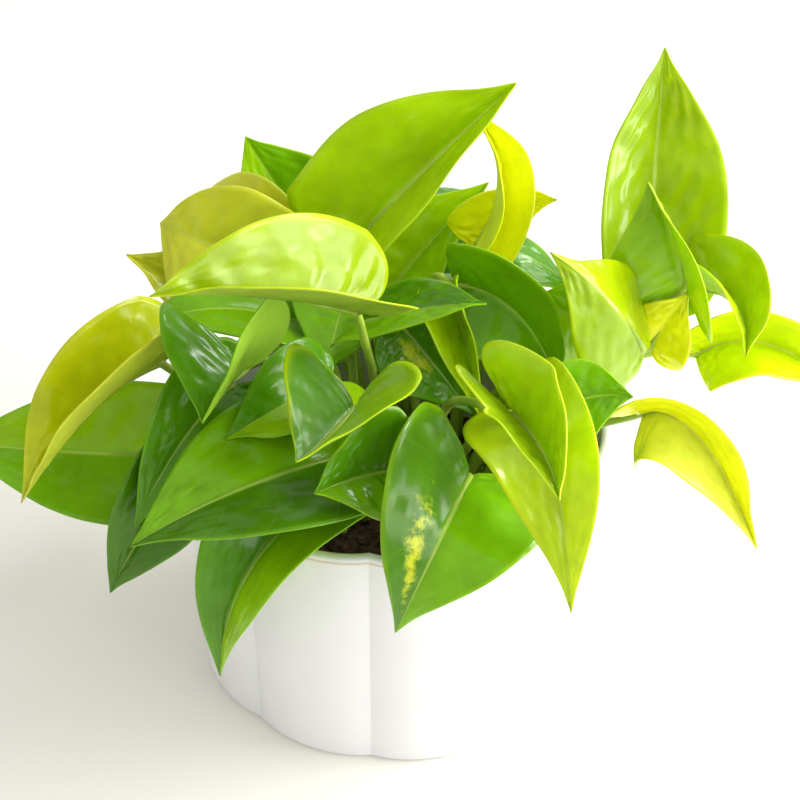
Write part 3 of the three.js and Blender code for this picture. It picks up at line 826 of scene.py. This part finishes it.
# %% Each leaf's measures
LEAVES = [
    {"name": "leaf_back_left", "foot": (-12, 51), "width": 60, "slot": "deep",
     "base": (-22, 67, 110), "mid": (-39, 75, 135), "tip": (-54, 79, 162),
     "face": (18, 22), "fold": 6, "curl": (8, 8),
     "belly": 0.75, "bend": (0, 1, 2),
     "left": "fresh", "right": "green", "margin": "bright"},
    {"name": "leaf_top_broad", "foot": (-7, 44), "width": 66, "slot": "bright",
     "base": (-14, 47, 138), "mid": (11, 51, 166), "tip": (41, 50, 200),
     "face": (-40, 31), "fold": 42, "curl": (8, 10),
     "belly": 0.6, "lobe": (0.5, 0.5), "bend": (1, -1, -3),
     "left": "bright", "right": "bright", "margin": "bright"},
    {"name": "leaf_top_shaded", "foot": (4, 52), "width": 54, "slot": "green",
     "base": (-6, 52, 106), "mid": (10, 64, 123), "tip": (34, 74, 146),
     "face": (-27, 43), "fold": 35, "curl": (6, 6),
     "belly": 0.8, "bend": (0, 0, -3),
     "left": "bright", "right": "fresh", "margin": "bright"},
    {"name": "leaf_yellow_front", "foot": (14, 50), "width": 32, "slot": "yellow",
     "base": (23, 42, 129), "mid": (36, 54, 158), "tip": (25, 60, 184),
     "face": (35, 14), "fold": 62, "curl": (2, 10),
     "belly": 0.55, "lobe": (0.3, 0.1), "bend": (0, 2, 1),
     "left": "yellow", "right": "yellow", "margin": "yellow"},
    {"name": "leaf_yellow_back", "foot": (24, 52), "width": 34, "slot": "yellow",
     "base": (30, 55, 130), "mid": (44, 58, 143), "tip": (57, 54, 151),
     "face": (-31, 32), "fold": 41, "curl": (0, 0),
     "lobe": (0.3, 0.3), "bend": (18, -14, -2),
     "left": "yellow", "right": "yellow", "margin": "yellow"},
    {"name": "leaf_arch_right", "foot": (22, 44), "width": 38, "slot": "bright",
     "base": (24, 67, 113), "mid": (47, 68, 118), "tip": (73, 66, 96),
     "face": (67, 70), "fold": -14, "curl": (7, 7),
     "bend": (2, 3, 5),
     "left": "deep", "right": "deep", "margin": "fresh"},
    {"name": "leaf_dark_right", "foot": (16, 36), "width": 48, "slot": "deep",
     "base": (21, 25, 135), "mid": (43, 15, 128), "tip": (57, 1, 105),
     "face": (-20, 19), "fold": 32, "curl": (10, 10),
     "belly": 0.65, "lobe": (0.2, 0.5), "bend": (10, 4, 25),
     "left": "green", "right": "green", "margin": "fresh"},
    {"name": "leaf_gloss_right", "foot": (16, 26), "width": 40, "slot": "green",
     "base": (20, 19, 137), "mid": (25, 2, 122), "tip": (30, -25, 112),
     "face": (-38, 49), "fold": 61, "curl": (9, 9),
     "lobe": (0.5, 0.5), "bend": (-15, 24, 34),
     "left": "bright", "right": "bright", "margin": "bright"},
    {"name": "leaf_point_right", "foot": (1, 36), "width": 36, "slot": "bright",
     "base": (-10, 11, 129), "mid": (10, -3, 145), "tip": (30, -11, 152),
     "face": (-105, 63), "fold": 9, "curl": (-1, -1),
     "bend": (0, -9, -8), "quilt": 0.6,
     "left": "deep", "right": "green", "margin": "fresh"},
    {"name": "leaf_speckled", "foot": (8, 31), "width": 48, "slot": "deep",
     "base": (1, 23, 120), "mid": (14, 23, 101), "tip": (28, 19, 82),
     "face": (30, 24), "fold": 29, "curl": (5, 5),
     "bend": (3, 1, 1), "splash": (0.2, 0.5, 0.3), "quilt": 0.6,
     "left": "deep", "right": "deep", "margin": "deep"},
    {"name": "leaf_lime_left", "foot": (-6, 28), "width": 56, "slot": "lime",
     "base": (-12, -22, 157), "mid": (-44, -43, 178), "tip": (-73, -58, 188),
     "face": (86, 62), "fold": 49, "curl": (1, -9),
     "belly": 0.85, "lobe": (0.1, 0.8), "flare": (-15, 0), "bend": (2, -11, 3), "quilt": 0.7,
     "left": "glow", "right": "glow", "margin": "lime"},
    {"name": "leaf_under_lime", "foot": (-13, 30), "width": 38, "slot": "green",
     "base": (-29, 27, 115), "mid": (-60, 15, 132), "tip": (-88, 4, 130),
     "face": (57, 68), "fold": 7, "curl": (11, 11),
     "bend": (-1, -2, 2),
     "left": "green", "right": "green", "margin": "green"},
    {"name": "leaf_olive_left", "foot": (-17, 36), "width": 54, "slot": "olive",
     "base": (-46, 40, 131), "mid": (-64, 34, 145), "tip": (-82, 42, 149),
     "face": (8, 20), "fold": 14, "curl": (13, 13),
     "belly": 0.55, "bend": (7, 2, 7),
     "left": "olive", "right": "olive", "margin": "olive"},
    {"name": "leaf_olive_back", "foot": (-20, 44), "width": 42, "slot": "olive",
     "base": (-48, 52, 126), "mid": (-57, 54, 148), "tip": (-69, 70, 142),
     "face": (-7, 44), "fold": 12, "curl": (10, 10),
     "left": "olive", "right": "olive", "margin": "pale"},
    {"name": "leaf_thin_left", "foot": (-24, 36), "width": 34, "slot": "olive",
     "base": (-62, 38, 119), "mid": (-79, 36, 130), "tip": (-94, 36, 140),
     "face": (34, 37), "fold": 35, "curl": (0, 0),
     "left": "olive", "right": "olive", "margin": "olive"},
    {"name": "leaf_mustard", "foot": (-29, 9), "width": 48, "slot": "lime",
     "base": (-77, -21, 136), "mid": (-99, -39, 128), "tip": (-123, -48, 98),
     "face": (-50, 54), "fold": 56, "curl": (0, 12),
     "belly": 0.75, "bend": (3, 1, -2),
     "left": "mustard", "right": "mustard", "margin": "olive"},
    {"name": "leaf_far_left", "foot": (-32, 3), "width": 50, "slot": "green",
     "base": (-73, -30, 104), "mid": (-113, -26, 102), "tip": (-149, -32, 112),
     "face": (7, 43), "fold": 5, "curl": (12, 12),
     "belly": 0.8, "bend": (3, 3, 2),
     "left": "green", "right": "fresh", "margin": "green"},
    {"name": "leaf_folded_left", "foot": (-22, 25), "width": 66, "slot": "deep",
     "base": (-49, -35, 143), "mid": (-54, -48, 144), "tip": (-60, -60, 141),
     "face": (-102, 71), "fold": 52, "curl": (0, 8),
     "lobe": (1.1, 1), "flare": (-50, 0), "bend": (-2, 11, 17), "quilt": 0.25,
     "left": "fresh", "right": "deep", "margin": "green"},
    {"name": "leaf_dark_left", "foot": (-23, 9), "width": 38, "slot": "deep",
     "base": (-54, -24, 128), "mid": (-70, -44, 119), "tip": (-85, -57, 95),
     "face": (14, 37), "fold": 20, "curl": (12, 12),
     "bend": (1, -4, 3),
     "left": "deep", "right": "deep", "margin": "green"},
    {"name": "leaf_low_left", "foot": (-27, -5), "width": 40, "slot": "deep",
     "base": (-64, -37, 109), "mid": (-82, -51, 90), "tip": (-96, -55, 64),
     "face": (-5, 24), "fold": 29, "curl": (9, 9),
     "left": "dark", "right": "dark", "margin": "deep"},
    {"name": "leaf_gloss_front", "foot": (-11, 2), "width": 58, "slot": "deep",
     "base": (-12, -41, 114), "mid": (-49, -68, 121), "tip": (-82, -86, 113),
     "face": (30, 78), "fold": 10, "curl": (6, 6),
     "belly": 0.8, "lobe": (0.5, 1), "bend": (4, -1, 4), "quilt": 0.75,
     "left": "dark", "right": "green", "margin": "green"},
    {"name": "leaf_hang_front", "foot": (-19, -5), "width": 54, "slot": "green",
     "base": (-18, -38, 96), "mid": (-46, -74, 93), "tip": (-58, -79, 49),
     "face": (-21, 48), "fold": 35, "curl": (7, 7),
     "bend": (-2, 5, -7),
     "left": "fresh", "right": "deep", "margin": "green"},
    {"name": "leaf_cup_lime", "foot": (-7, 12), "width": 58, "slot": "lime",
     "base": (-13, -47, 137), "mid": (-21, -66, 140), "tip": (-30, -81, 143),
     "face": (145, 81), "fold": 38, "curl": (7, 7),
     "lobe": (1.6, 0.8), "flare": (30, 0), "bend": (11, -4, 16), "quilt": 0.2,
     "left": "fresh", "right": "dark", "margin": "lime"},
    {"name": "leaf_round_veined", "foot": (-14, 17), "width": 36, "slot": "green",
     "base": (-18, 28, 125), "mid": (-21, 16, 121), "tip": (-23, 0, 116),
     "face": (26, 69), "fold": -4, "curl": (16, 16),
     "bend": (2, 8, -2),
     "left": "green", "right": "green", "margin": "green"},
    {"name": "leaf_dark_inner", "foot": (-17, 9), "width": 35, "slot": "deep",
     "base": (-22, -23, 129), "mid": (-38, -41, 132), "tip": (-54, -53, 129),
     "face": (43, 65), "fold": 11, "curl": (14, 14),
     "bend": (1, 16, 13),
     "left": "fresh", "right": "deep", "margin": "green"},
    {"name": "leaf_point_front", "foot": (-4, -5), "width": 44, "slot": "lime",
     "base": (0, -61, 123), "mid": (-12, -67, 125), "tip": (-25, -77, 127),
     "face": (40, 45), "fold": 26, "curl": (13, 13),
     "belly": 0.8, "bend": (2, 4, 15),
     "left": "green", "right": "deep", "margin": "fresh"},
    {"name": "leaf_heart_front", "foot": (5, -1), "width": 60, "slot": "green",
     "base": (24, -53, 114), "mid": (13, -88, 115), "tip": (0, -95, 85),
     "face": (20, 47), "fold": 11, "curl": (17, 17),
     "bend": (4, -6, -1), "splash": (0.35, 0.72, 0.24), "quilt": 0.2,
     "left": "green", "right": "dark", "margin": "fresh"},
    {"name": "leaf_hang_right", "foot": (19, 7), "width": 44, "slot": "yellow",
     "base": (42, -39, 128), "mid": (50, -78, 129), "tip": (55, -95, 93),
     "face": (-27, 51), "fold": 21, "curl": (10, 14),
     "bend": (3, 2, -1),
     "left": "lime", "right": "warm", "margin": "lime"},
    {"name": "leaf_fold_right", "foot": (14, 12), "width": 46, "slot": "olive",
     "base": (37, -65, 148), "mid": (45, -81, 146), "tip": (48, -106, 149),
     "face": (-81, 76), "fold": 56, "curl": (6, 0),
     "belly": 0.8, "lobe": (2.8, 2.8), "bend": (-12, 4, 17),
     "left": "bright", "right": "sunlit", "margin": "lime"},
    {"name": "leaf_lime_arch", "foot": (26, 13), "width": 46, "slot": "yellow",
     "base": (84, -3, 128), "mid": (69, -11, 155), "tip": (50, -6, 169),
     "face": (47, 29), "fold": -28, "curl": (13, 13),
     "bend": (-4, -1, 1),
     "left": "sunlit", "right": "warm", "margin": "lime"},
    {"name": "leaf_small_right", "foot": (24, 4), "width": 30, "slot": "bright",
     "base": (57, -33, 128), "mid": (67, -34, 132), "tip": (77, -36, 133),
     "face": (-19, 35), "fold": 20, "curl": (13, 13),
     "bend": (0, 0, -4),
     "left": "green", "right": "green", "margin": "fresh"},
    {"name": "leaf_tall_right", "foot": (32, 33), "width": 55, "slot": "bright",
     "base": (91, 45, 125), "mid": (92, 63, 161), "tip": (93, 73, 201),
     "face": (9, 20), "fold": 29, "curl": (11, 11),
     "belly": 0.62, "bend": (0, 0, 3), "quilt": 0.7,
     "left": "sunlit", "right": "warm", "margin": "bright"},
    {"name": "leaf_front_of_tall", "foot": (31, 25), "width": 60, "slot": "bright",
     "base": (100, 21, 137), "mid": (93, 21, 159), "tip": (85, 31, 173),
     "face": (-37, -2), "fold": 45, "curl": (-5, -5),
     "lobe": (0.5, 0.05), "bend": (1, 0, -1),
     "left": "fresh", "right": "bright", "margin": "bright"},
    {"name": "leaf_lime_far", "foot": (36, 27), "width": 40, "slot": "lime",
     "base": (104, 34, 127), "mid": (117, 18, 131), "tip": (119, -1, 123),
     "face": (40, 84), "fold": 56, "curl": (11, -1),
     "belly": 0.6, "lobe": (0.3, 1), "bend": (-2, 1, 4),
     "left": "warm", "right": "bright", "margin": "lime"},
    {"name": "leaf_yellow_edge", "foot": (36, 18), "width": 42, "slot": "yellow",
     "base": (107, 27, 103), "mid": (134, 27, 107), "tip": (163, 21, 85),
     "face": (6, 33), "fold": 54, "curl": (0, 0),
     "belly": 0.7, "lobe": (0.1, 0.1), "bend": (-9, 0, 26),
     "left": "lime", "right": "lime", "margin": "yellow"},
    {"name": "leaf_small_yellow", "foot": (32, 12), "width": 28, "slot": "yellow",
     "base": (89, 16, 115), "mid": (94, 16, 126), "tip": (101, 19, 135),
     "face": (-19, 19), "fold": 11, "curl": (2, 2),
     "left": "yellow", "right": "yellow", "margin": "yellow"},
    {"name": "leaf_low_right", "foot": (30, 5), "width": 42, "slot": "yellow",
     "base": (83, -25, 118), "mid": (102, -33, 111), "tip": (124, -37, 67),
     "face": (0, 14), "fold": 55, "curl": (8, 8),
     "belly": 0.75, "lobe": (0.8, 0.2), "bend": (-4, -1, 5),
     "left": "yellow", "right": "pale", "margin": "yellow"},
    {"name": "leaf_behind_arch", "foot": (26, 32), "width": 44, "slot": "bright",
     "base": (70, 22, 118), "mid": (59, 19, 127), "tip": (49, 28, 128),
     "face": (1, 32), "fold": 5, "curl": (10, 10),
     "left": "fresh", "right": "fresh", "margin": "bright"},
    {"name": "leaf_back_low_a", "foot": (-14, 46), "width": 46, "slot": "green",
     "base": (-34, 82, 111), "mid": (-47, 97, 97), "tip": (-53, 109, 76),
     "face": (150, 50), "fold": 12, "curl": (9, 9),
     "bend": (0, 0, 18),
     "left": "green", "right": "green", "margin": "fresh"},
    {"name": "leaf_back_low_b", "foot": (-2, 55), "width": 50, "slot": "bright",
     "base": (-4, 81, 110), "mid": (-1, 95, 98), "tip": (4, 107, 80),
     "face": (178, 45), "fold": 11, "curl": (11, 11),
     "bend": (-3, -5, 15),
     "left": "fresh", "right": "fresh", "margin": "bright"},
    {"name": "leaf_back_low_c", "foot": (30, 50), "width": 46, "slot": "green",
     "base": (31, 69, 102), "mid": (49, 83, 88), "tip": (64, 92, 66),
     "face": (140, 48), "fold": 9, "curl": (10, 10),
     "bend": (3, -8, 14),
     "left": "green", "right": "green", "margin": "fresh"},
    {"name": "leaf_back_high", "foot": (7, 61), "width": 44, "slot": "deep",
     "base": (9, 77, 130), "mid": (7, 92, 129), "tip": (2, 113, 120),
     "face": (175, 40), "fold": 15, "curl": (8, 8),
     "bend": (-1, -2, 8),
     "left": "deep", "right": "deep", "margin": "green"},
    {"name": "leaf_back_left_low", "foot": (-32, 40), "width": 42, "slot": "green",
     "base": (-61, 59, 111), "mid": (-74, 75, 97), "tip": (-82, 91, 78),
     "face": (200, 50), "fold": 12, "curl": (10, 10),
     "bend": (0, 0, 22),
     "left": "green", "right": "green", "margin": "green"},
    {"name": "leaf_back_right", "foot": (33, 39), "width": 42, "slot": "bright",
     "base": (92, 56, 118), "mid": (106, 73, 106), "tip": (117, 90, 89),
     "face": (140, 50), "fold": 9, "curl": (10, 10),
     "bend": (0, -1, 26),
     "left": "fresh", "right": "fresh", "margin": "bright"},
]
print("rows:", len(LEAVES))

# %% [markdown]
# Placing 44 leaves by hand would be slow and hard to repeat, so a loop makes each from its row.

# %% Make all the leaves
for leaf in LEAVES:
    make_leaf(leaf)
print("leaves:", len(LEAVES))
